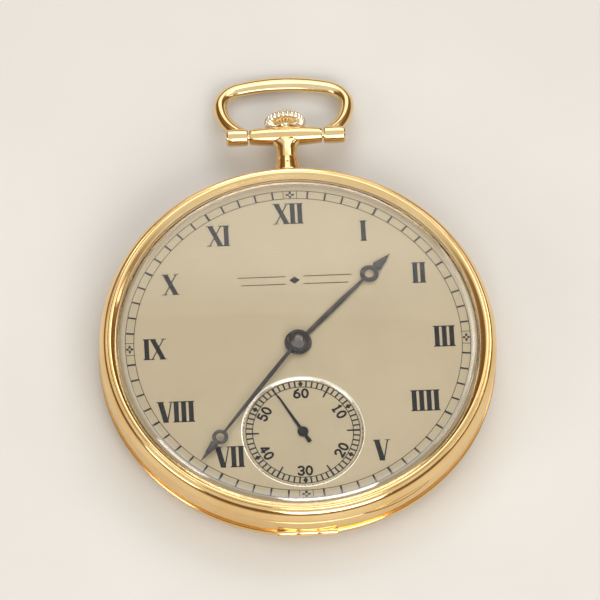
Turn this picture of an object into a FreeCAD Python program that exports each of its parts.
import FreeCAD, Part
import Sketcher
import math
import os
from FreeCAD import Vector, Rotation, Placement

# Open face pocket watch, lying on its back.
# +Z dial normal, +Y towards 12 and the pendant, +X towards 3.
# The origin is on the centre arbor's axis, on the plane that the back rests on.  All sizes in millimetres.

doc = FreeCAD.newDocument("pocket_watch")
sheet = doc.addObject("Spreadsheet::Sheet", "dims")

TABLE = [
    # case
    ("case_radius", 23.0, "outer radius of bezel and back cover"),
    ("band_radius", 22.8, "outer radius of the middle of the case"),
    ("band_bore", 20.15, "bore that the movement drops into"),
    ("band_low", 2.75, "lower shoulder of the band"),
    ("band_high", 5.15, "upper shoulder of the band"),
    ("lip_radius", 22.0, "outer radius of the lower lip"),
    ("snap_radius", 21.95, "outer radius of the upper lip"),
    ("back_flat", 15.0, "radius of the flat on the back"),
    ("back_wall", 0.42, "back cover thickness"),
    ("cuvette_radius", 21.4, "inner cover radius"),
    ("stem_z", 3.6, "height of the stem and bow axis"),
    ("bar_y", 28.55, "distance of the crossbar from the centre"),
    ("bar_radius", 1.15, "crossbar radius at its middle"),
    ("bar_end", 0.92, "crossbar radius at its ends"),
    ("bar_half", 4.25, "half the crossbar's length"),
    ("lug_start", 4.45, "inner face of the bow lug"),
    ("lug_finish", 6.95, "outer face of the bow lug"),
    ("lug_radius", 1.03, "bow lug radius"),
    ("bow_wire", 0.70, "radius of the bow's wire"),
    ("bow_droop", 18.45, "angle of the resting bow below the case plane"),
    ("bow_top_arc", 18.4, "bow top arc radius"),
    ("bow_corner_arc", 3.134, "bow corner arc radius"),
    ("bow_side_arc", 6.0, "bow side arc radius"),
    ("bow_reach", 9.05, "bow centreline reach from the crossbar"),
    ("crown_radius", 2.45, "crown radius"),
    ("crown_seat", 29.75, "inner face of the crown"),
    ("hinge_y", -22.85, "back hinge axis"),
    ("hinge_z", 2.75, "back hinge axis height"),
    ("inner_hinge_y", -21.45, "inner cover hinge axis"),
    ("inner_hinge_z", 2.02, "inner cover hinge axis height"),
    ("glass_radius", 21.3, "crystal edge radius"),
    ("glass_top", 8.05, "crystal crown height"),
    # dial and hands
    ("dial_radius", 21.2, "dial radius"),
    ("dial_low", 5.35, "underside of the dial"),
    ("dial_top", 5.8, "dial surface"),
    ("second_y", -11.4, "small seconds axis"),
    ("second_radius", 7.0, "small seconds recess radius"),
    ("second_depth", 0.2, "small seconds recess depth"),
    ("hour_angle", -45.2, "hour hand direction from 12, anticlockwise"),
    ("minute_angle", -218.4, "minute hand direction from 12, anticlockwise"),
    ("second_angle", -330.5, "seconds hand direction from 12, anticlockwise"),
    ("hour_length", 15.8, "hour hand length"),
    ("minute_length", 19.4, "minute hand length"),
    ("second_length", 5.4, "seconds hand length"),
    # movement levels
    ("bridge_low", 1.5, "outer face of the bridges"),
    ("bridge_high", 2.55, "inner face of the bridges"),
    ("plate_low", 3.95, "inner face of the main plate"),
    ("plate_step", 4.75, "underside of the plate's flange"),
    ("plate_radius", 20.05, "main plate radius"),
    ("flange_radius", 20.75, "main plate flange radius"),
    ("bridge_radius", 19.3, "radius of the bridges"),
    # arbor positions
    ("barrel_x", -6.62, "barrel"), ("barrel_y", 5.55, "barrel"),
    ("third_x", 4.773, "third wheel"), ("third_y", -6.264, "third wheel"),
    ("escape_x", -5.5, "escape wheel"), ("escape_y", -11.37, "escape wheel"),
    ("balance_x", -11.4, "balance"), ("balance_y", -7.6, "balance"),
    ("pallet_x", -8.03, "pallet fork"), ("pallet_y", -9.754, "pallet fork"),
    ("crownwheel_y", 10.72, "crown wheel, on the stem's line"),
    ("motion_x", 2.24, "minute wheel"), ("motion_y", 2.82, "minute wheel"),
    ("setting_y", 7.9, "setting wheel"),
    ("click_x", -13.5, "click"), ("click_y", 7.05, "click"),
    ("lever_x", -3.2, "setting lever"), ("lever_y", 17.65, "setting lever"),
    ("yoke_x", 5.0, "yoke"), ("yoke_y", 12.27, "yoke"),
    # wheels
    ("barrel_teeth", 84, ""), ("barrel_module", 0.18, ""),
    ("centre_leaves", 12, ""), ("centre_teeth", 80, ""), ("centre_module", 0.175, ""),
    ("third_leaves", 10, ""), ("third_teeth", 75, ""), ("third_module", 0.165, ""),
    ("fourth_leaves", 10, ""), ("fourth_teeth", 80, ""), ("fourth_module", 0.125, ""),
    ("escape_leaves", 8, ""), ("escape_teeth", 15, ""), ("escape_tip", 2.6, "escape wheel tip radius"),
    ("motion_module", 0.15, ""), ("cannon_leaves", 12, ""), ("motion_teeth", 36, ""), ("setting_teeth", 38, ""),
    ("hour_module", 0.144, ""), ("motion_leaves", 10, ""), ("hour_teeth", 40, ""),
    ("wind_module", 0.2, ""), ("ratchet_teeth", 50, ""), ("crownwheel_teeth", 34, ""), ("winder_teeth", 14, ""),
    ("balance_radius", 5.5, "balance rim radius"),
]
for i, (name, value, note) in enumerate(TABLE):
    row = i + 1
    sheet.set("A%d" % row, name)
    sheet.set("B%d" % row, str(value))
    sheet.setAlias("B%d" % row, name)
    sheet.set("C%d" % row, note)
doc.recompute()


class Dim(object):
    """A number from the sheet together with the expression that gives it."""

    def __init__(self, value, text):
        self.v = float(value)
        self.x = text

    def __add__(self, o):
        return Dim(self.v + val(o), "(%s + %s)" % (self.x, txt(o)))

    def __radd__(self, o):
        return Dim(val(o) + self.v, "(%s + %s)" % (txt(o), self.x))

    def __sub__(self, o):
        return Dim(self.v - val(o), "(%s - %s)" % (self.x, txt(o)))

    def __rsub__(self, o):
        return Dim(val(o) - self.v, "(%s - %s)" % (txt(o), self.x))

    def __mul__(self, o):
        return Dim(self.v * val(o), "(%s * %s)" % (self.x, txt(o)))

    def __rmul__(self, o):
        return Dim(val(o) * self.v, "(%s * %s)" % (txt(o), self.x))

    def __truediv__(self, o):
        return Dim(self.v / val(o), "(%s / %s)" % (self.x, txt(o)))

    def __neg__(self):
        return Dim(-self.v, "(0 - %s)" % self.x)


def val(o):
    return o.v if isinstance(o, Dim) else float(o)


def txt(o):
    return o.x if isinstance(o, Dim) else ("(%r)" % float(o))


def cap(half, rise):
    """Radius of a dome that rises by this much over this half width."""
    return (half * half + rise * rise) / (rise * 2)


class Sizes(object):
    pass


D = Sizes()
for name, value, note in TABLE:
    setattr(D, name, Dim(float(sheet.get(name)), "dims." + name))


def put(obj, prop, size):
    setattr(obj, prop, val(size))
    if isinstance(size, Dim):
        obj.setExpression(prop, size.x)


def place(obj, x=0, y=0, z=0, rot=None):
    obj.Placement = Placement(Vector(val(x), val(y), val(z)), rot or Rotation())
    for key, size in (("x", x), ("y", y), ("z", z)):
        if isinstance(size, Dim):
            obj.setExpression("Placement.Base." + key, size.x)
    return obj


ALONG_X = Rotation(Vector(0, 1, 0), 90)
ALONG_Y = Rotation(Vector(1, 0, 0), -90)


def cyl(r, z0, z1, x=0, y=0):
    o = doc.addObject("Part::Cylinder", "cyl")
    put(o, "Radius", r)
    put(o, "Height", z1 - z0)
    return place(o, x, y, z0)


def cylx(r, x0, x1, y, z):
    o = doc.addObject("Part::Cylinder", "cylx")
    put(o, "Radius", r)
    put(o, "Height", x1 - x0)
    return place(o, x0, y, z, ALONG_X)


def cyly(r, y0, y1, x, z):
    o = doc.addObject("Part::Cylinder", "cyly")
    put(o, "Radius", r)
    put(o, "Height", y1 - y0)
    return place(o, x, y0, z, ALONG_Y)


def box(x0, x1, y0, y1, z0, z1):
    o = doc.addObject("Part::Box", "box")
    put(o, "Length", x1 - x0)
    put(o, "Width", y1 - y0)
    put(o, "Height", z1 - z0)
    return place(o, x0, y0, z0)


def fuse(*parts):
    o = doc.addObject("Part::MultiFuse", "fuse")
    o.Shapes = list(parts)
    return o


def cut(base, *tools):
    o = doc.addObject("Part::Cut", "cut")
    o.Base = base
    o.Tool = tools[0] if len(tools) == 1 else fuse(*tools)
    return o


def common(a, b):
    o = doc.addObject("Part::Common", "common")
    o.Base = a
    o.Tool = b
    return o


def capsule(x1, y1, x2, y2, r, z0, z1):
    """A bar with round ends between two points."""
    dx, dy = val(x2) - val(x1), val(y2) - val(y1)
    length = math.hypot(dx, dy)
    turn = math.degrees(math.atan2(dy, dx))
    b = doc.addObject("Part::Box", "bar")
    b.Length = length
    put(b, "Width", r * 2)
    put(b, "Height", z1 - z0)
    side = Vector(-dy, dx, 0).normalize() * (-val(r))
    b.Placement = Placement(Vector(val(x1), val(y1), val(z0)) + side, Rotation(Vector(0, 0, 1), turn))
    return fuse(cyl(r, z0, z1, x1, y1), cyl(r, z0, z1, x2, y2), b)


def body(name):
    return doc.addObject("PartDesign::Body", name)


def sketch_on(b, role):
    plane = [f for f in b.Origin.OriginFeatures if f.Role == role][0]
    s = b.newObject("Sketcher::SketchObject", "sketch")
    s.AttachmentSupport = (plane, [""])
    s.MapMode = "FlatFace"
    return s


def pin(s, geo, pos, x, y):
    if val(x) == 0:
        s.addConstraint(Sketcher.Constraint("PointOnObject", geo, pos, -2))
    else:
        k = s.addConstraint(Sketcher.Constraint("DistanceX", -1, 1, geo, pos, val(x)))
        if isinstance(x, Dim):
            s.setExpression("Constraints[%d]" % k, x.x)
    if val(y) == 0:
        s.addConstraint(Sketcher.Constraint("PointOnObject", geo, pos, -1))
    else:
        k = s.addConstraint(Sketcher.Constraint("DistanceY", -1, 1, geo, pos, val(y)))
        if isinstance(y, Dim):
            s.setExpression("Constraints[%d]" % k, y.x)


def outline(s, pts):
    """Closed outline.  Each point is (x, y) or (x, y, radius, side): then the run to the next point is an arc that
    bulges to the left (side 1) or to the right (side -1) of the way it goes."""
    n = len(pts)
    segs = []
    for i in range(n):
        p, q = pts[i], pts[(i + 1) % n]
        a = Vector(val(p[0]), val(p[1]), 0)
        b = Vector(val(q[0]), val(q[1]), 0)
        if len(p) == 4:
            d = b - a
            r = val(p[2])
            h = r - math.sqrt(r * r - d.Length ** 2 / 4.0)
            mid = (a + b) * 0.5 + Vector(-d.y, d.x, 0).normalize() * (h * p[3])
            if p[3] < 0:
                g = s.addGeometry(Part.ArcOfCircle(a, mid, b), False)
                segs.append((g, 1, 2, p[2]))
            else:
                g = s.addGeometry(Part.ArcOfCircle(b, mid, a), False)
                segs.append((g, 2, 1, p[2]))
        else:
            g = s.addGeometry(Part.LineSegment(a, b), False)
            segs.append((g, 1, 2, None))
    for i in range(n):
        g, first, last, r = segs[i]
        g2, first2, last2, r2 = segs[(i + 1) % n]
        s.addConstraint(Sketcher.Constraint("Coincident", g, last, g2, first2))
    for i in range(n):
        g, first, last, r = segs[i]
        pin(s, g, first, pts[i][0], pts[i][1])
        if r is not None:
            k = s.addConstraint(Sketcher.Constraint("Radius", g, val(r)))
            if isinstance(r, Dim):
                s.setExpression("Constraints[%d]" % k, r.x)


def circle(s, x, y, r):
    g = s.addGeometry(Part.Circle(Vector(val(x), val(y), 0), Vector(0, 0, 1), val(r)), False)
    k = s.addConstraint(Sketcher.Constraint("Radius", g, val(r)))
    if isinstance(r, Dim):
        s.setExpression("Constraints[%d]" % k, r.x)
    pin(s, g, 3, x, y)


def turned(name, pts, x=0, y=0, z=0, rot=None):
    """A body turned about its own Z axis from a (radius, height) outline."""
    b = body(name)
    s = sketch_on(b, "XZ_Plane")
    outline(s, pts)
    f = b.newObject("PartDesign::Revolution", "turn")
    f.Profile = s
    f.ReferenceAxis = (s, ["V_Axis"])
    f.Angle = 360
    b.Tip = f
    place(b, x, y, z, rot)
    return b


def lift(s, z):
    s.AttachmentOffset = Placement(Vector(0, 0, val(z)), Rotation())
    if isinstance(z, Dim):
        s.setExpression("AttachmentOffset.Base.z", z.x)


def pad(b, z0, z1, pts=None, circles=()):
    s = sketch_on(b, "XY_Plane")
    lift(s, z0)
    if pts:
        outline(s, pts)
    for c in circles:
        circle(s, *c)
    f = b.newObject("PartDesign::Pad", "pad")
    f.Profile = s
    put(f, "Length", z1 - z0)
    b.Tip = f
    return f


def pocket(b, z0, z1, pts=None, circles=()):
    """Removes everything inside the outline between z0 and z1; the sketch is on top and the cut goes down."""
    s = sketch_on(b, "XY_Plane")
    lift(s, z1)
    if pts:
        outline(s, pts)
    for c in circles:
        circle(s, *c)
    f = b.newObject("PartDesign::Pocket", "pocket")
    f.Profile = s
    put(f, "Length", z1 - z0)
    b.Tip = f
    return f


# ------------------------------------------------------------------ computed shapes for toothed and coiled pieces
def ngon(points, z0, z1):
    w = Part.makePolygon([Vector(x, y, z0) for x, y in points] + [Vector(points[0][0], points[0][1], z0)])
    return Part.Face(w).extrude(Vector(0, 0, z1 - z0))


def tooth_points(n, mod, phase, tip, root, add=1.0, ded=1.25):
    n = int(round(n))
    pitch = 2 * math.pi / n
    ra, rf = mod * n / 2.0 + add * mod, mod * n / 2.0 - ded * mod
    pts = []
    for i in range(n):
        a = phase + i * pitch
        for r, w in ((rf, -root), (ra, -tip), (ra, tip), (rf, root)):
            pts.append((r * math.cos(a + w * pitch / 2), r * math.sin(a + w * pitch / 2)))
    return pts


def wheel_teeth(n, mod, phase, z0, z1):
    return ngon(tooth_points(n, mod, phase, 0.20, 0.56), z0, z1)


def pinion_teeth(n, mod, phase, z0, z1):
    return ngon(tooth_points(n, mod, phase, 0.22, 0.42, 0.95, 1.15), z0, z1)


def rod(steps):
    """A stepped arbor: (z0, z1, radius) for each step."""
    out = None
    for z0, z1, r in steps:
        c = Part.makeCylinder(r, z1 - z0, Vector(0, 0, z0))
        out = c if out is None else out.fuse(c)
    return out


def tube(r0, r1, z0, z1):
    return Part.makeCylinder(r1, z1 - z0, Vector(0, 0, z0)).cut(Part.makeCylinder(r0, z1 - z0, Vector(0, 0, z0)))


def sector(r0, r1, a0, a1, z0, z1):
    s = Part.makeCylinder(r1, z1 - z0, Vector(0, 0, z0), Vector(0, 0, 1), math.degrees(a1 - a0))
    s.rotate(Vector(0, 0, 0), Vector(0, 0, 1), math.degrees(a0))
    return s.cut(Part.makeCylinder(r0, z1 - z0, Vector(0, 0, z0)))


def crossings(shape, r0, r1, arms, width, z0, z1, start=0.0):
    """Cuts the windows between the arms of a wheel."""
    windows = []
    step = 2 * math.pi / arms
    for i in range(arms):
        a = start + i * step
        half = width / 2.0
        b0 = a + math.asin(half / r0)
        b1 = a + step - math.asin(half / r0)
        c0 = a + math.asin(half / r1)
        c1 = a + step - math.asin(half / r1)
        m0, m1 = (b0 + b1) / 2, (c0 + c1) / 2
        P = lambda r, t: Vector(r * math.cos(t), r * math.sin(t), z0)
        edges = [
            Part.Arc(P(r0, b0), P(r0, m0), P(r0, b1)).toShape(),
            Part.makeLine(P(r0, b1), P(r1, c1)),
            Part.Arc(P(r1, c1), P(r1, m1), P(r1, c0)).toShape(),
            Part.makeLine(P(r1, c0), P(r0, b0)),
        ]
        windows.append(Part.Face(Part.Wire(edges)).extrude(Vector(0, 0, z1 - z0)))
    return shape.cut(windows)


def spiral(r0, r1, turns, half, z0, z1, start=0.0):
    """A flat coiled strip."""
    count = int(28 * turns)

    def curve(offset):
        pts = []
        for i in range(count + 1):
            f = i / float(count)
            a = start + 2 * math.pi * turns * f
            r = r0 + (r1 - r0) * f + offset
            pts.append(Vector(r * math.cos(a), r * math.sin(a), z0))
        c = Part.BSplineCurve()
        c.interpolate(pts)
        return c.toShape(), pts[0], pts[-1]

    inner, i0, i1 = curve(-half)
    outer, o0, o1 = curve(half)
    w = Part.Wire([inner, Part.makeLine(i1, o1), outer, Part.makeLine(o0, i0)])
    return Part.Face(w).extrude(Vector(0, 0, z1 - z0))


def feature(label, shape, x=0, y=0, z=0, rot=None):
    o = doc.addObject("Part::Feature", label)
    o.Shape = shape
    place(o, x, y, z, rot)
    return o


def mesh_phase(ax, ay, an, aphase, bx, by, bn):
    """Phase that puts wheel b's gap on wheel a's tooth at their line of centres."""
    th = math.atan2(val(by) - val(ay), val(bx) - val(ax))
    pa, pb = 2 * math.pi / val(an), 2 * math.pi / val(bn)
    ua = ((th - aphase) / pa) % 1.0
    ub = (0.5 - ua) % 1.0
    return th + math.pi - ub * pb


NODES = []


def node(label, obj):
    obj.Label = label
    NODES.append((label, obj))
    return obj


# ================================================================== case
ring = turned("band_ring", [
    (D.band_bore, 2.45), (21.45, 2.45), (21.45, 2.05), (D.lip_radius, 2.05), (D.lip_radius, D.band_low),
    (D.band_radius, D.band_low, 8.0, -1), (D.band_radius, D.band_high), (D.snap_radius, D.band_high),
    (D.snap_radius, 5.95), (21.35, 5.95), (21.35, D.dial_low), (20.85, D.dial_low), (20.85, D.plate_step),
    (D.band_bore, D.plate_step)])
neck = turned("neck", [
    (0, 22.3), (1.45, 22.3), (1.45, 23.1), (1.5, 23.5, 4.5, 1), (1.14, 25.6), (1.07, 28.0), (0, 28.0)], 0, 0, D.stem_z, ALONG_Y)
bar = turned("crossbar", [
    (0, -D.bar_half), (D.bar_end - 0.08, -D.bar_half), (D.bar_end, 0.08 - D.bar_half, 52.0, -1),
    (D.bar_radius, 0, 52.0, -1), (D.bar_end, D.bar_half - 0.08), (D.bar_end - 0.08, D.bar_half),
    (0, D.bar_half)], 0, D.bar_y, D.stem_z, ALONG_X)
band = fuse(
    ring, neck, bar,
    cylx(0.45, -3.5, -1.25, D.hinge_y, D.hinge_z), cylx(0.45, 1.25, 3.5, D.hinge_y, D.hinge_z),
    cylx(0.32, -2.3, -1.05, D.inner_hinge_y, D.inner_hinge_z), cylx(0.32, 1.05, 2.3, D.inner_hinge_y, D.inner_hinge_z))
node("case_band", cut(
    band,
    cyly(0.78, 19.8, 30.2, 0, D.stem_z), cyl(0.17, 4.55, 5.6, 0, 24.4),
    cylx(0.36, 3.1, 4.4, D.bar_y, D.stem_z), cylx(0.36, -4.4, -3.1, D.bar_y, D.stem_z),
    cylx(0.50, -1.22, 1.22, D.hinge_y, D.hinge_z),
    cylx(0.18, -3.6, 3.6, D.hinge_y, D.hinge_z),
    cylx(0.40, -1.02, 1.02, D.inner_hinge_y, D.inner_hinge_z),
    cylx(0.13, -2.4, 2.4, D.inner_hinge_y, D.inner_hinge_z)))

bezel_ring = turned("bezel_ring", [
    (D.lip_radius, 5.2), (22.8, 5.2), (D.case_radius, 5.4), (D.case_radius, 5.7, 1.55, -1), (22.2, 7.04),
    (22.08, 6.96), (21.95, 7.05), (21.1, 6.84), (21.1, 6.75), (21.35, 6.75), (21.35, 6.25),
    (20.95, 6.25), (20.95, 6.05), (D.lip_radius, 6.05)])
thumb = doc.addObject("Part::Cylinder", "thumb")
put(thumb, "Radius", D.case_radius + 0.25)
thumb.Height = 0.3
thumb.Angle = 23.0
place(thumb, 0, 0, 5.2, Rotation(Vector(0, 0, 1), -74.0))
node("bezel", fuse(bezel_ring, cut(thumb, cyl(22.4, 5.1, 5.7))))

node("crystal", turned("crystal", [
    (20.8, 6.3), (D.glass_radius, 6.3), (D.glass_radius, 6.68), (20.95, 6.70, 0.8, -1), (20.2, 7.3, cap(20.2, D.glass_top - 7.3), -1),
    (0, D.glass_top), (0, D.glass_top - 0.45, cap(19.9, D.glass_top - 7.4), 1), (19.9, 6.95, 0.9, 1), (20.75, 6.5)]))

back_shell = turned("back_shell", [
    (0, 0), (D.back_flat, 0, 21.5, -1), (22.5, 1.354, 1.3, -1), (D.case_radius, 2.2), (D.case_radius, 2.7),
    (22.05, 2.7), (22.05, 1.75), (21.9, 1.58, 21.1, 1), (D.back_flat, D.back_wall), (0, D.back_wall)])
back_lip = doc.addObject("Part::Cylinder", "back_lip")
put(back_lip, "Radius", D.case_radius + 0.25)
back_lip.Height = 0.3
back_lip.Angle = 20.0
place(back_lip, 0, 0, 2.4, Rotation(Vector(0, 0, 1), 125.0))
node("back_cover", cut(
    fuse(back_shell, cylx(0.45, -1.17, 1.17, D.hinge_y, D.hinge_z), cut(back_lip, cyl(22.4, 2.3, 2.8))),
    cylx(0.50, -3.55, -1.2, D.hinge_y, D.hinge_z), cylx(0.50, 1.2, 3.55, D.hinge_y, D.hinge_z),
    cylx(0.21, -1.3, 1.3, D.hinge_y, D.hinge_z),
    cyly(1.55, 21.9, 24.0, 0, D.stem_z)))
node("back_hinge_pin", cylx(0.18, -3.5, 3.5, D.hinge_y, D.hinge_z))

cuvette_shell = turned("cuvette_shell", [
    (0, 0.65), (16.0, 0.65), (19.9, 1.18), (D.cuvette_radius, 1.75), (D.cuvette_radius, 2.40), (21.1, 2.40),
    (21.1, 1.95), (19.7, 1.43), (16.0, 0.90), (0, 0.90)])
node("cuvette", cut(
    fuse(cuvette_shell, cylx(0.32, -0.97, 0.97, D.inner_hinge_y, D.inner_hinge_z)),
    box(-2.5, -1.0, -22.2, -21.03, 1.5, 2.6), box(1.0, 2.5, -22.2, -21.03, 1.5, 2.6),
    cylx(0.16, -1.1, 1.1, D.inner_hinge_y, D.inner_hinge_z)))
node("cuvette_hinge_pin", cylx(0.13, -2.3, 2.3, D.inner_hinge_y, D.inner_hinge_z))

# bow: five arcs of round wire, tangent to each other, and two lugs
flare = math.degrees(math.asin(5.204 / D.bow_top_arc.v))
s_f, c_f = math.sin(math.radians(flare)), math.cos(math.radians(flare))
corner_x = (D.bow_top_arc.v - D.bow_corner_arc.v) * s_f
corner_y = D.bow_reach.v - D.bow_top_arc.v + (D.bow_top_arc.v - D.bow_corner_arc.v) * c_f
side_x = corner_x + D.bow_corner_arc.v - D.bow_side_arc.v
side_turn = math.degrees(math.asin((corner_y - 0.55) / D.bow_side_arc.v))


def wire_arc(radius, cx, cy, start, sweep):
    o = doc.addObject("Part::Torus", "wire")
    put(o, "Radius1", radius)
    put(o, "Radius2", D.bow_wire)
    o.Angle3 = sweep
    place(o, cx, cy, 0, Rotation(Vector(0, 0, 1), start))
    return o


loops = [
    wire_arc(D.bow_top_arc, 0, D.bow_reach - D.bow_top_arc, 90 - flare, 2 * flare),
    wire_arc(D.bow_corner_arc, corner_x, corner_y, 0, 90 - flare),
    wire_arc(D.bow_corner_arc, -corner_x, corner_y, 90 + flare, 90 - flare),
    wire_arc(D.bow_side_arc, side_x, corner_y, -side_turn, side_turn),
    wire_arc(D.bow_side_arc, -side_x, corner_y, 180, side_turn),
]
lug_pts = [(0, D.lug_start), (D.lug_radius - 0.08, D.lug_start), (D.lug_radius, D.lug_start + 0.08),
           (D.lug_radius, D.lug_finish - 0.15), (D.lug_radius - 0.15, D.lug_finish), (0, D.lug_finish)]
lug_a = turned("lug_right", lug_pts, 0, 0, 0, ALONG_X)
lug_b = turned("lug_left", lug_pts, 0, 0, 0, Rotation(Vector(0, 1, 0), -90))
bow = cut(fuse(*(loops + [lug_a, lug_b])),
          cylx(0.40, 4.3, 7.2, 0, 0), cylx(0.40, -7.2, -4.3, 0, 0),
          cylx(0.66, 6.62, 7.2, 0, 0), cylx(0.66, -7.2, -6.62, 0, 0))
place(bow, 0, D.bar_y, D.stem_z, Rotation(Vector(1, 0, 0), -D.bow_droop.v))
node("bow", bow)


def bow_screw(sign):
    if sign > 0:
        return cut(fuse(cylx(0.36, 3.2, 6.7, D.bar_y, D.stem_z), cylx(0.62, 6.66, 6.93, D.bar_y, D.stem_z)),
                   box(6.82, 7.1, 28.0, 29.2, 3.53, 3.67))
    return cut(fuse(cylx(0.36, -6.7, -3.2, D.bar_y, D.stem_z), cylx(0.62, -6.93, -6.66, D.bar_y, D.stem_z)),
               box(-7.1, -6.82, 28.0, 29.2, 3.53, 3.67))


node("bow_screws", fuse(bow_screw(1), bow_screw(-1)))

# ================================================================== crown, stem and keyless works
sleeve = turned("sleeve", [(0.56, 22.0), (0.78, 22.0), (0.78, 27.3), (0.56, 27.3)], 0, 0, D.stem_z, ALONG_Y)
node("pendant_sleeve", sleeve)

crown = turned("crown", [
    (0.42, -1.75), (0.72, -1.75), (0.72, 0.001), (1.25, 0.001, 1.5, -1), (D.crown_radius, 0.70), (D.crown_radius, 0.80, cap(D.crown_radius, 1.0), -1),
    (0, 1.8), (0, 1.2), (0.42, 1.2)], 0, D.crown_seat, D.stem_z, ALONG_Y)
doc.recompute()
cs = sketch_on(crown, "XY_Plane")
lift(cs, 2.0)
circle(cs, D.crown_radius + 0.1, 0, 0.24)
flute = crown.newObject("PartDesign::Pocket", "flute")
flute.Profile = cs
flute.Length = 2.4
crown.Tip = flute
doc.recompute()
flutes = crown.newObject("PartDesign::PolarPattern", "flutes")
flutes.Originals = [flute]
flutes.Axis = (cs, ["N_Axis"])
flutes.Angle = 360
flutes.Occurrences = 24
crown.Tip = flutes
node("crown", crown)

node("winding_stem", fuse(
    cyly(0.42, 28.0, 30.9, 0, D.stem_z), cyly(0.50, 17.4, 28.0, 0, D.stem_z), cyly(0.32, 16.9, 17.4, 0, D.stem_z),
    cyly(0.50, 13.6, 16.9, 0, D.stem_z), box(-0.35, 0.35, 10.9, 13.6, 3.25, 3.95),
    cyly(0.25, 10.15, 10.9, 0, D.stem_z)))

# winding train phases: pinion on the stem, crown wheel, ratchet wheel
wind_mod = D.wind_module.v
cw_phase = math.pi / 2
rat_phase = mesh_phase(0, D.crownwheel_y, D.crownwheel_teeth, cw_phase, D.barrel_x, D.barrel_y, D.ratchet_teeth)

# the winding pinion turns about Y; in its own frame local Z becomes Y, local Y becomes -Z
n_w = D.winder_teeth.v
wp = pinion_teeth(n_w, wind_mod, math.pi / 2 + math.pi / n_w, 13.92, 15.1)
wp = wp.fuse(Part.makeCylinder(1.0, 0.17, Vector(0, 0, 13.75)))
for k in range(8):
    wp = wp.fuse(sector(0.62, 1.0, k * math.pi / 4, k * math.pi / 4 + 0.33, 13.56, 13.76))
wp = wp.cut(Part.makeCylinder(0.53, 3, Vector(0, 0, 13.0)))
node("winding_pinion", feature("winding_pinion_shape", wp, 0, 0, D.stem_z, ALONG_Y))

cl = rod([(12.1, 12.5, 1.0), (12.5, 12.95, 0.70), (12.95, 13.54, 1.0)])
cl = cl.fuse(pinion_teeth(n_w, 0.125, 0.0, 11.85, 12.1))
for k in range(8):
    cl = cl.fuse(sector(0.62, 1.0, k * math.pi / 4 + 0.3927, k * math.pi / 4 + 0.7127, 13.53, 13.74))
cl = cl.cut(Part.makeBox(0.76, 0.76, 3, Vector(-0.38, -0.38, 11.5)))
node("clutch_wheel", feature("clutch_shape", cl, 0, 0, D.stem_z, ALONG_Y))

# setting lever: plate about its screw, with a pin down into the stem's groove
lv = ngon([(-0.75, -0.55), (0.2, -0.95), (3.55, -0.85), (3.6, -0.1), (0.6, 0.75), (-0.3, 0.8), (-1.9, 1.1), (-2.0, 0.55)], 4.36, 4.6)
lv = lv.fuse(Part.makeCylinder(0.8, 0.24, Vector(0, 0, 4.36)))
lv = lv.fuse(Part.makeCylinder(0.19, 0.42, Vector(3.16, -0.5, 3.95)))
lv = lv.cut(Part.makeCylinder(0.38, 1, Vector(0, 0, 4.0)))
node("setting_lever", feature("setting_lever_shape", lv, D.lever_x, D.lever_y, 0))

# yoke: a bar whose end runs in the clutch wheel's groove
a_y = math.atan2(0.45, 5.0)
yk = ngon([(0.5, 0.42), (-4.0, 0.22), (-4.1, 0.15), (-5.6, 0.15), (-5.6, -0.15), (-4.0, -0.15), (0.0, -0.6), (2.9, -1.3), (3.1, -0.9)], 4.36, 4.6)
yk = yk.fuse(Part.makeCylinder(0.8, 0.24, Vector(0, 0, 4.36)))
yk = yk.cut(Part.makeCylinder(0.43, 1, Vector(0, 0, 4.0)))
node("yoke", feature("yoke_shape", yk, D.yoke_x, D.yoke_y, 0, Rotation(Vector(0, 0, 1), -math.degrees(a_y))))

# spring plate that holds the setting lever down
sp = ngon([(-1.6, -2.6), (-0.4, -2.6), (0.2, -0.2), (1.0, 0.2), (0.9, 0.5), (-0.2, 0.3), (-1.3, -0.6)], 4.66, 4.84)
sp = sp.fuse(Part.makeCylinder(0.85, 0.54, Vector(-1.0, -2.4, 4.30)))
node("setting_lever_spring", feature("lever_spring_shape", sp, D.lever_x - 1.0, D.lever_y - 0.1, 0))

# ================================================================== main plate and bridges
FEET_BARREL = [(11.5, 9.5, 2.2), (-8.5, 15.3, 1.7), (16.5, 1.5, 1.8), (-16.8, 3.6, 1.7)]
FEET_TRAIN = [(12.5, -12.0, 1.8), (-3.5, -17.25, 1.35), (6.2, -16.5, 1.4)]
FOOT_COCK = (-16.9, -1.9, 1.75)
FEET_PALLET = [(-9.3, -13.3, 0.95), (-6.0, -6.8, 0.95)]
CASE_SCREWS = [(9.78, 16.93), (0.0, -19.55)]
DIAL_FEET = [(17.67, 6.43), (-14.4, 12.08), (-3.26, -18.52)]
PIVOTS = [(D.third_x, D.third_y), (0, D.second_y), (D.escape_x, D.escape_y)]

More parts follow.
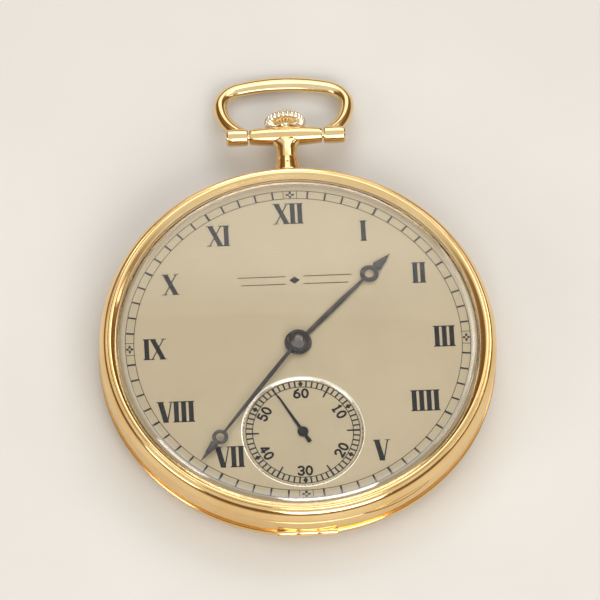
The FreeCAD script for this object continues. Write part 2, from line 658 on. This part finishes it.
plate_base = fuse(
    cyl(D.plate_radius, D.plate_low, D.plate_step), cyl(D.flange_radius, D.plate_step, D.dial_low),
    box(-2.4, 2.4, 15.6, 19.5, 2.75, 4.2), box(-0.9, 0.9, 10.2, 10.75, 3.1, 4.2))
plate_cuts = [
    cyl(0.66, 3.5, 5.5),
    cyl(7.95, 3.0, 4.40, D.barrel_x, D.barrel_y), cyl(0.64, 4.3, 4.85, D.barrel_x, D.barrel_y),
    cyl(3.35, 4.65, 5.5), cyl(3.05, 4.65, 5.5, D.motion_x, D.motion_y), cyl(3.2, 4.65, 5.5, 0, D.setting_y),
    cyl(0.55, 3.5, 4.75, D.third_x, D.third_y), cyl(0.55, 3.5, 5.5, 0, D.second_y),
    cyl(0.55, 3.5, 4.75, D.escape_x, D.escape_y), cyl(0.45, 3.5, 4.75, D.pallet_x, D.pallet_y),
    cyl(0.55, 3.5, 4.75, D.balance_x, D.balance_y),
    box(-1.7, 6.2, 10.9, 14.3, 4.30, 5.5), box(-6.3, 6.2, 14.2, 18.9, 4.30, 5.5), box(5.5, 8.6, 10.4, 14.0, 4.30, 5.5),
    cyly(0.56, 9.9, 21.0, 0, D.stem_z), box(-1.75, 1.75, 13.8, 15.25, 3.0, 4.4), box(-1.5, 1.5, 10.8, 13.9, 3.0, 4.4),
    box(-0.35, 0.35, 16.85, 18.5, 3.4, 4.4),
    capsule(0, D.setting_y, -3.6, 9.6, 1.15, 4.65, 5.5),
    cyl(0.35, 3.0, 4.7, D.lever_x, D.lever_y),
    cyl(0.85, 4.0, 4.4, D.lever_x - 2.0, D.lever_y - 2.5),
]
for x, y, r in FEET_BARREL + FEET_TRAIN + [FOOT_COCK]:
    plate_cuts.append(cyl(0.35, 3.5, 4.4, x, y))
for x, y, r in FEET_PALLET:
    plate_cuts.append(cyl(0.25, 3.5, 4.5, x, y))
for x, y in CASE_SCREWS:
    plate_cuts.append(cyl(0.4, 3.5, 4.7, x, y))
for x, y in DIAL_FEET:
    plate_cuts.append(cyl(0.45, 3.9, 5.5, x, y))
node("main_plate", fuse(
    cut(plate_base, *plate_cuts),
    cyl(0.40, 4.29, 4.66, D.yoke_x, D.yoke_y), cyl(0.35, 4.64, 5.2, D.motion_x, D.motion_y),
    cyl(0.45, 4.64, 4.99, 0, D.setting_y)))

bb_base = fuse(
    common(cyl(D.bridge_radius, D.bridge_low, D.bridge_high), box(-20, 20, -2.2, 20, 1.0, 3.0)),
    *[cyl(r, D.bridge_low, D.plate_low, x, y) for x, y, r in FEET_BARREL])
bb_cuts = [
    cyl(6.15, 1.0, 3.0, D.balance_x, D.balance_y), cyl(2.1, 1.0, 4.2, FOOT_COCK[0], FOOT_COCK[1]),
    capsule(FOOT_COCK[0], FOOT_COCK[1], D.balance_x, D.balance_y, 1.95, 1.0, 3.0),
    cyl(5.35, 1.0, 1.90, D.barrel_x, D.barrel_y), cyl(0.80, 1.0, 3.0, D.barrel_x, D.barrel_y),
    cyl(3.75, 1.0, 2.32, 0, D.crownwheel_y), box(-1.9, 1.9, 13.8, 15.3, 1.9, 2.8),
    capsule(D.click_x, D.click_y, -11.4, 8.0, 1.8, 1.0, 1.90),
    capsule(-11.6, 9.6, -14.6, 10.9, 0.75, 1.0, 1.90),
    cyl(0.35, 1.0, 2.3, D.click_x, D.click_y),
    cyl(0.47, 1.0, 3.0),
    cyl(0.40, 1.0, 2.45, 0, D.crownwheel_y),
]
for x, y, r in FEET_BARREL:
    bb_cuts += [cyl(0.9, 1.0, 1.85, x, y), cyl(0.35, 1.0, 4.2, x, y)]
bb_cuts.append(cyl(1.3, 1.0, 3.0, CASE_SCREWS[0][0], CASE_SCREWS[0][1]))
node("barrel_bridge", cut(bb_base, *bb_cuts))

tb_base = fuse(
    common(cyl(D.bridge_radius, D.bridge_low, D.bridge_high), box(-12, 20, -20, -2.5, 1.0, 3.0)),
    *[cyl(r, D.bridge_low, D.plate_low, x, y) for x, y, r in FEET_TRAIN])
tb_cuts = [cyl(6.15, 1.0, 4.2, D.balance_x, D.balance_y), box(-14, -8.2, -21, -2, 1.0, 3.0)]
for x, y in PIVOTS:
    tb_cuts.append(cyl(0.55, 1.0, 3.0, x, y))
for x, y, r in FEET_TRAIN:
    tb_cuts += [cyl(0.9, 1.0, 1.85, x, y), cyl(0.35, 1.0, 4.2, x, y)]
tb_cuts.append(cyl(1.3, 1.0, 3.0, CASE_SCREWS[1][0], CASE_SCREWS[1][1]))
node("train_bridge", cut(tb_base, *tb_cuts))

node("balance_cock", cut(
    fuse(capsule(FOOT_COCK[0], FOOT_COCK[1], D.balance_x, D.balance_y, 1.75, D.bridge_low, 2.05),
         cyl(2.3, D.bridge_low, 2.05, D.balance_x, D.balance_y),
         cyl(FOOT_COCK[2], D.bridge_low, D.plate_low, FOOT_COCK[0], FOOT_COCK[1])),
    cyl(0.9, 1.0, 1.85, FOOT_COCK[0], FOOT_COCK[1]), cyl(0.35, 1.0, 4.2, FOOT_COCK[0], FOOT_COCK[1]),
    cyl(0.55, 1.0, 3.0, D.balance_x, D.balance_y)))

pc_base = fuse(
    capsule(FEET_PALLET[0][0], FEET_PALLET[0][1], D.pallet_x, D.pallet_y, 0.8, 3.06, 3.24),
    capsule(FEET_PALLET[1][0], FEET_PALLET[1][1], D.pallet_x, D.pallet_y, 0.8, 3.06, 3.24),
    *[cyl(r, 3.06, D.plate_low, x, y) for x, y, r in FEET_PALLET])
node("pallet_cock", cut(
    pc_base, cyl(0.12, 2.9, 3.4, D.pallet_x, D.pallet_y),
    *[cyl(0.25, 2.9, 4.2, x, y) for x, y, r in FEET_PALLET]))


def screw(x, y, head, shank, z0, z1, z2, slot=0.16, turn=30.0):
    """Slotted screw with its head outwards, towards the back."""
    s = doc.addObject("Part::Box", "slot")
    s.Length, s.Width, s.Height = head * 2.4, slot, 0.14
    t = math.radians(turn)
    s.Placement = Placement(
        Vector(x - head * 1.2 * math.cos(t) + slot / 2 * math.sin(t), y - head * 1.2 * math.sin(t) - slot / 2 * math.cos(t), z0 - 0.02),
        Rotation(Vector(0, 0, 1), turn))
    return cut(fuse(cyl(head, z0, z1, x, y), cyl(shank, z1 - 0.05, z2, x, y)), s)


screws = []
for i, (x, y, r) in enumerate(FEET_BARREL + FEET_TRAIN + [FOOT_COCK]):
    screws.append(screw(x, y, 0.86, 0.35, 1.48, 1.85, 4.38, 0.16, 25.0 + 37.0 * i))
for i, (x, y, r) in enumerate(FEET_PALLET):
    screws.append(screw(x, y, 0.5, 0.25, 2.975, 3.06, 4.4, 0.12, 60.0 * i))
node("bridge_screws", fuse(*screws))
node("case_screws", fuse(*[screw(x, y, 1.0, 0.4, 2.12, 2.45, 4.65, 0.2, 75.0 - 60.0 * i) for i, (x, y) in enumerate(CASE_SCREWS)]))
node("lever_screws", fuse(
    screw(D.lever_x.v, D.lever_y.v, 0.6, 0.35, 2.62, 2.92, 4.62),
    screw(D.click_x.v, D.click_y.v, 0.75, 0.35, 1.34, 1.50, 2.25, 0.16, 110.0)))

node("setting_bridge", cut(
    fuse(capsule(0, D.setting_y, -3.6, 9.6, 0.95, 5.02, 5.28), cyl(0.8, 4.65, 5.1, -3.9, 9.72)),
    cyl(0.2, 4.9, 5.4, 0, D.setting_y)))

# jewels: rings pressed into the bridges, the cock and the plate, and the balance's cap jewel
jewels = []


def jewel(x, y, z0, z1, r=0.55, hole=0.14):
    jewels.append(cut(cyl(r, z0, z1, x, y), cyl(hole, z0 - 0.1, z1 + 0.1, x, y)))


jewel(D.third_x, D.third_y, 1.75, 2.15)
jewel(0, D.second_y, 1.75, 2.15)
jewel(D.escape_x, D.escape_y, 1.75, 2.15)
jewel(D.third_x, D.third_y, 4.05, 4.4)
jewel(0, D.second_y, 4.05, 4.4, 0.55, 0.30)
jewel(D.escape_x, D.escape_y, 4.05, 4.4)
jewel(D.pallet_x, D.pallet_y, 4.05, 4.4, 0.45)
jewel(D.balance_x, D.balance_y, 1.72, 2.0)
jewel(D.balance_x, D.balance_y, 4.05, 4.35)
jewels.append(cyl(0.55, 1.5, 1.62, D.balance_x, D.balance_y))
jewels.append(cyl(0.55, 4.5, 4.65, D.balance_x, D.balance_y))
node("jewels", fuse(*jewels))

# ================================================================== barrel and winding wheels
bn, bm = D.barrel_teeth.v, D.barrel_module.v
c_pin_phase = 0.0
b_phase = mesh_phase(0, 0, D.centre_leaves, c_pin_phase, D.barrel_x, D.barrel_y, D.barrel_teeth)
drum = wheel_teeth(bn, bm, b_phase, 2.95, 3.25).fuse(Part.makeCylinder(7.2, 1.05, Vector(0, 0, 3.25)))
drum = drum.cut([Part.makeCylinder(6.9, 1.2, Vector(0, 0, 3.15)), Part.makeCylinder(0.80, 2, Vector(0, 0, 2.5))])
node("barrel", feature("barrel_shape", drum, D.barrel_x, D.barrel_y, 0))
node("barrel_lid", cut(cyl(6.9, 4.12, 4.3, D.barrel_x, D.barrel_y), cyl(0.80, 4.0, 4.5, D.barrel_x, D.barrel_y)))
node("mainspring", feature("mainspring_shape", spiral(1.55, 6.75, 8.0, 0.10, 3.20, 4.06), D.barrel_x, D.barrel_y, 0))
arbor = rod([(1.55, 3.2, 0.75), (3.2, 4.08, 1.30), (4.08, 4.38, 0.75), (4.38, 4.8, 0.58)])
node("barrel_arbor", feature("barrel_arbor_shape", arbor, D.barrel_x, D.barrel_y, 0))
ratchet = wheel_teeth(D.ratchet_teeth.v, wind_mod, rat_phase, 1.55, 1.85).cut(Part.makeCylinder(0.75, 1, Vector(0, 0, 1.2)))
node("ratchet_wheel", feature("ratchet_shape", ratchet, D.barrel_x, D.barrel_y, 0))
node("ratchet_screw", screw(D.barrel_x.v, D.barrel_y.v, 1.5, 0.3, 1.36, 1.55, 1.55, 0.22, 15.0))
cwheel = wheel_teeth(D.crownwheel_teeth.v, wind_mod, cw_phase, 1.55, 2.25).cut(Part.makeCylinder(1.6, 1.2, Vector(0, 0, 1.3)))
node("crown_wheel", feature("crown_wheel_shape", cwheel, 0, D.crownwheel_y, 0))
node("crown_wheel_core", fuse(
    screw(0, D.crownwheel_y.v, 2.1, 0.4, 1.34, 1.50, 2.45, 0.22, 100.0), cyl(1.55, 1.48, 2.32, 0, D.crownwheel_y)))

ck = ngon([(-0.3, -0.75), (1.2, -0.45), (2.38, 0.84), (2.37, 1.08), (1.3, 1.15), (0.1, 0.79), (-0.9, 1.1), (-1.15, 0.7), (-0.8, 0.0)], 1.54, 1.80)
ck = ck.cut(Part.makeCylinder(0.38, 1, Vector(0, 0, 1.2)))
node("click", feature("click_shape", ck, D.click_x, D.click_y, 0))
node("click_spring", fuse(capsule(-14.6, 10.9, -11.9, 9.65, 0.12, 1.58, 1.80), cyl(0.5, 1.58, 1.90, -14.6, 10.9)))

# ================================================================== going train
cn, cm = D.centre_teeth.v, D.centre_module.v
centre = rod([(1.7, 2.59, 0.42), (2.59, 2.85, 0.75), (2.85, 3.45, 0.6), (3.45, 6.66, 0.42)])
cw = wheel_teeth(cn, cm, 0.0, 2.65, 2.80)
cw = crossings(cw, 1.3, 6.1, 5, 0.7, 2.6, 2.9)
centre = centre.fuse([cw, pinion_teeth(D.centre_leaves.v, bm, c_pin_phase, 2.88, 3.40), Part.makeCylinder(1.4, 0.15, Vector(0, 0, 2.65))])
node("centre_wheel", feature("centre_wheel_shape", centre))

t_pin_phase = mesh_phase(0, 0, D.centre_teeth, 0.0, D.third_x, D.third_y, D.third_leaves)
third = rod([(1.7, 2.2, 0.11), (2.2, 2.6, 0.35), (2.6, 3.9, 0.42), (3.9, 4.35, 0.11)])
tw = crossings(wheel_teeth(D.third_teeth.v, D.third_module.v, 0.0, 3.45, 3.60), 1.15, 5.4, 5, 0.6, 3.4, 3.7)
third = third.fuse([tw, pinion_teeth(D.third_leaves.v, cm, t_pin_phase, 2.60, 2.95), Part.makeCylinder(1.2, 0.15, Vector(0, 0, 3.45))])
node("third_wheel", feature("third_wheel_shape", third, D.third_x, D.third_y, 0))

f_pin_phase = mesh_phase(D.third_x, D.third_y, D.third_teeth, 0.0, 0, D.second_y, D.fourth_leaves)
fourth = rod([(1.7, 2.2, 0.11), (2.2, 2.9, 0.35), (2.9, 3.9, 0.40), (3.9, 5.92, 0.26)])
fw = crossings(wheel_teeth(D.fourth_teeth.v, D.fourth_module.v, 0.0, 2.95, 3.10), 1.0, 4.3, 5, 0.5, 2.9, 3.2)
fourth = fourth.fuse([fw, pinion_teeth(D.fourth_leaves.v, D.third_module.v, f_pin_phase, 3.36, 3.70), Part.makeCylinder(1.05, 0.15, Vector(0, 0, 2.95))])
node("fourth_wheel", feature("fourth_wheel_shape", fourth, 0, D.second_y, 0))

e_pin_phase = mesh_phase(0, D.second_y, D.fourth_teeth, 0.0, D.escape_x, D.escape_y, D.escape_leaves)
escape = rod([(1.7, 2.2, 0.11), (2.2, 2.85, 0.28), (2.85, 3.9, 0.30), (3.9, 4.35, 0.11)])
tip = D.escape_tip.v
epts = []
for i in range(int(D.escape_teeth.v)):
    a = i * 2 * math.pi / D.escape_teeth.v
    for r, off in ((2.0, 0.03), (tip - 0.22, 0.155), (tip - 0.03, 0.175), (tip, 0.255), (tip - 0.28, 0.235), (2.0, 0.16)):
        epts.append((r * math.cos(a + off), r * math.sin(a + off)))
ew = crossings(ngon(epts, 3.45, 3.57), 0.7, 1.65, 4, 0.35, 3.4, 3.6)
escape = escape.fuse([ew, pinion_teeth(D.escape_leaves.v, D.fourth_module.v, e_pin_phase, 2.86, 3.22), Part.makeCylinder(0.75, 0.12, Vector(0, 0, 3.45))])
node("escape_wheel", feature("escape_wheel_shape", escape, D.escape_x, D.escape_y, 0))

# lever and balance: local X runs from the pallet's arbor to the balance
line = math.degrees(math.atan2(D.balance_y.v - D.pallet_y.v, D.balance_x.v - D.pallet_x.v))
LINE = Rotation(Vector(0, 0, 1), line)
fork = ngon([(-0.30, -1.75), (0.10, -1.75), (0.22, -0.4), (0.5, -0.16), (2.55, -0.14), (2.75, -0.5), (3.12, -0.5), (3.12, -0.25),
             (2.85, -0.2), (2.85, 0.2), (3.12, 0.25), (3.12, 0.5), (2.75, 0.5), (2.55, 0.14), (0.5, 0.16), (0.22, 0.4), (0.10, 1.75),
             (-0.30, 1.75)], 3.40, 3.52)
fork = fork.fuse(rod([(3.0, 3.26, 0.09), (3.28, 3.9, 0.25), (3.9, 4.35, 0.11)]).fuse(Part.makeCylinder(0.09, 0.1, Vector(0, 0, 3.2))))
node("pallet_fork", feature("pallet_fork_shape", fork, D.pallet_x, D.pallet_y, 0, LINE))
# the stones stop short of the escape teeth over the whole rock of the fork
stones = Part.makeCompound([Part.makeBox(0.25, 0.26, 0.12, Vector(-0.55, y - 0.13, 3.42)) for y in (1.42, -1.42)])
node("pallet_stones", feature("pallet_stones_shape", stones, D.pallet_x, D.pallet_y, 0, LINE))

br = D.balance_radius.v
rim = crossings(Part.makeCylinder(br, 0.35, Vector(0, 0, 2.60)), 0.85, br - 0.55, 3, 0.7, 2.5, 3.0, 0.4)
node("balance_wheel", feature("balance_wheel_shape", rim.cut(Part.makeCylinder(0.3, 1, Vector(0, 0, 2.4))), D.balance_x, D.balance_y, 0, LINE))
weights = []
for i in range(14):
    c = Part.makeCylinder(0.15, 0.30, Vector(br, 0, 2.775), Vector(1, 0, 0))
    c.rotate(Vector(0, 0, 0), Vector(0, 0, 1), 360.0 / 14 * i + 12.0)
    weights.append(c)
weights = [w.cut(Part.makeCylinder(br, 1, Vector(0, 0, 2.4))) for w in weights]
node("balance_screws", feature("balance_screws_shape", Part.makeCompound(weights), D.balance_x, D.balance_y, 0, LINE))
staff = rod([(1.64, 2.05, 0.11), (2.08, 2.5, 0.42), (2.5, 2.60, 0.55), (2.60, 2.95, 0.30), (2.95, 3.15, 0.45), (3.15, 3.33, 1.1),
             (3.33, 3.9, 0.32), (3.9, 4.48, 0.11)]).fuse(Part.makeCylinder(0.11, 0.1, Vector(0, 0, 2.0)))
node("balance_staff", feature("balance_staff_shape", staff, D.balance_x, D.balance_y, 0, LINE))
# the impulse jewel passes just inside the horns of the fork at any swing
node("impulse_jewel", feature("impulse_jewel_shape", Part.makeCylinder(0.10, 0.22, Vector(-0.72, 0, 3.33)), D.balance_x, D.balance_y, 0, LINE))
node("hairspring", feature("hairspring_shape", spiral(0.56, 2.75, 8.0, 0.045, 2.16, 2.30, 1.2), D.balance_x, D.balance_y, 0))
stud_a = 1.2
node("hairspring_stud", box(D.balance_x + 2.72, D.balance_x + 3.2, D.balance_y - 0.2, D.balance_y + 0.2, 2.06, 2.34))
reg = tube(0.75, 1.25, 1.34, 1.47).fuse([
    ngon([(0.9, -0.22), (3.6, -0.09), (3.6, 0.09), (0.9, 0.22)], 1.34, 1.47),
    ngon([(-0.9, -0.2), (-2.85, -0.14), (-2.85, 0.14), (-0.9, 0.2)], 1.34, 1.47),
    Part.makeCylinder(0.07, 0.66, Vector(-2.72, 0.0, 1.44))])
node("regulator", feature("regulator_shape", reg, D.balance_x, D.balance_y, 0, Rotation(Vector(0, 0, 1), line + 100.0)))

# ================================================================== motion work
mm = D.motion_module.v
can_phase = 0.2
mw_phase = mesh_phase(0, 0, D.cannon_leaves, can_phase, D.motion_x, D.motion_y, D.motion_teeth)
cannon = pinion_teeth(D.cannon_leaves.v, mm, can_phase, 4.72, 5.02).fuse(tube(0.42, 0.62, 4.72, 6.56)).cut(Part.makeCylinder(0.42, 3, Vector(0, 0, 4.5)))
node("cannon_pinion", feature("cannon_shape", cannon))
hm = D.hour_module.v
mp_phase = 0.1
hw_phase = mesh_phase(D.motion_x, D.motion_y, D.motion_leaves, mp_phase, 0, 0, D.hour_teeth)
mwheel = wheel_teeth(D.motion_teeth.v, mm, mw_phase, 4.74, 4.94).fuse(pinion_teeth(D.motion_leaves.v, hm, mp_phase, 4.92, 5.2)).cut(Part.makeCylinder(0.38, 3, Vector(0, 0, 4.5)))
node("minute_wheel", feature("minute_wheel_shape", mwheel, D.motion_x, D.motion_y, 0))
hwheel = wheel_teeth(D.hour_teeth.v, hm, hw_phase, 5.06, 5.20).fuse(Part.makeCylinder(0.86, 1.12, Vector(0, 0, 5.06))).cut(Part.makeCylinder(0.67, 3, Vector(0, 0, 4.5)))
node("hour_wheel", feature("hour_wheel_shape", hwheel))
sw_phase = mesh_phase(D.motion_x, D.motion_y, D.motion_teeth, mw_phase, 0, D.setting_y, D.setting_teeth)
swheel = wheel_teeth(D.setting_teeth.v, mm, sw_phase, 4.74, 4.94).cut(Part.makeCylinder(0.48, 3, Vector(0, 0, 4.5)))
node("setting_wheel", feature("setting_wheel_shape", swheel, 0, D.setting_y, 0))

# ================================================================== dial and hands
dial = body("dial")
pad(dial, D.dial_low, D.dial_top, circles=[(0, 0, D.dial_radius)])
pocket(dial, D.dial_top - D.second_depth, D.dial_top, circles=[(0, D.second_y, D.second_radius)])
pocket(dial, D.dial_low - 0.1, D.dial_top + 0.1, circles=[(0, 0, 0.95), (0, D.second_y, 0.36)])
node("dial", dial)
node("dial_feet", fuse(*[cyl(0.45, 4.0, D.dial_low, x, y) for x, y in DIAL_FEET]))


def pomme(name, length, ring_at, ring_r, boss, hole, waist, z0, z1, angle):
    """A hand with a slim shaft, an open ring near its end and an arrow point; it points along its own +Y."""
    b = body(name)
    tail = ring_at + ring_r * 0.8
    pad(b, z0, z1, pts=[(-0.16, 0), (-waist, length * 0.30), (-0.17, ring_at), (-ring_r * 0.55, tail), (-0.001, length),
                        (0.001, length), (ring_r * 0.55, tail), (0.17, ring_at), (waist, length * 0.30), (0.16, 0)])
    pad(b, z0, z1, circles=[(0, ring_at, ring_r)])
    pad(b, z0 - 0.03, z1 + 0.09, circles=[(0, 0, boss)])
    pocket(b, z0 - 0.2, z1 + 0.3, circles=[(0, ring_at + ring_r * 0.12, ring_r * 0.55)])
    pocket(b, z0 - 0.2, z1 + 0.3, circles=[(0, 0, hole)])
    place(b, 0, 0, 0, Rotation(Vector(0, 0, 1), val(angle)))
    return b


node("hour_hand", pomme("hour_hand", D.hour_length, D.hour_length - 3.4, 1.15, 1.55, 0.86, 0.33, 6.02, 6.14, D.hour_angle))
node("minute_hand", pomme("minute_hand", D.minute_length, D.minute_length - 3.8, 0.95, 1.5, 0.62, 0.30, 6.42, 6.54, D.minute_angle))
second = body("seconds_hand")
pad(second, 5.72, 5.80, pts=[(-0.2, -1.5), (0.2, -1.5), (0.1, 0), (0.05, D.second_length), (-0.05, D.second_length), (-0.1, 0)])
pad(second, 5.70, 5.90, circles=[(0, 0, 0.48)])
pocket(second, 5.6, 6.0, circles=[(0, 0, 0.26)])
place(second, 0, D.second_y, 0, Rotation(Vector(0, 0, 1), D.second_angle.v))
node("seconds_hand", second)

# ================================================================== check and write
doc.recompute()
bad = []
for o in doc.Objects:
    state = list(getattr(o, "State", []))
    if "Invalid" in state or "Error" in state:
        bad.append("%s %s" % (o.Name, state))
for label, obj in NODES:
    s = obj.Shape
    if s.isNull() or not s.isValid() or s.Volume <= 0 or not s.Solids:
        bad.append("%s shape" % label)
names = [label for label, obj in NODES]
if len(set(names)) != len(names) or len(names) > 60 or max(len(x) for x in names) > 59:
    bad.append("names")
if bad:
    raise RuntimeError("; ".join(bad))
os.makedirs("parts", exist_ok=True)
for label, obj in NODES:
    obj.Shape.exportStep("parts/%s.step" % label)
    print("%-22s solids %2d  faces %4d  volume %9.3f mm3" % (label, len(obj.Shape.Solids), len(obj.Shape.Faces), obj.Shape.Volume))
print(len(NODES), "nodes")
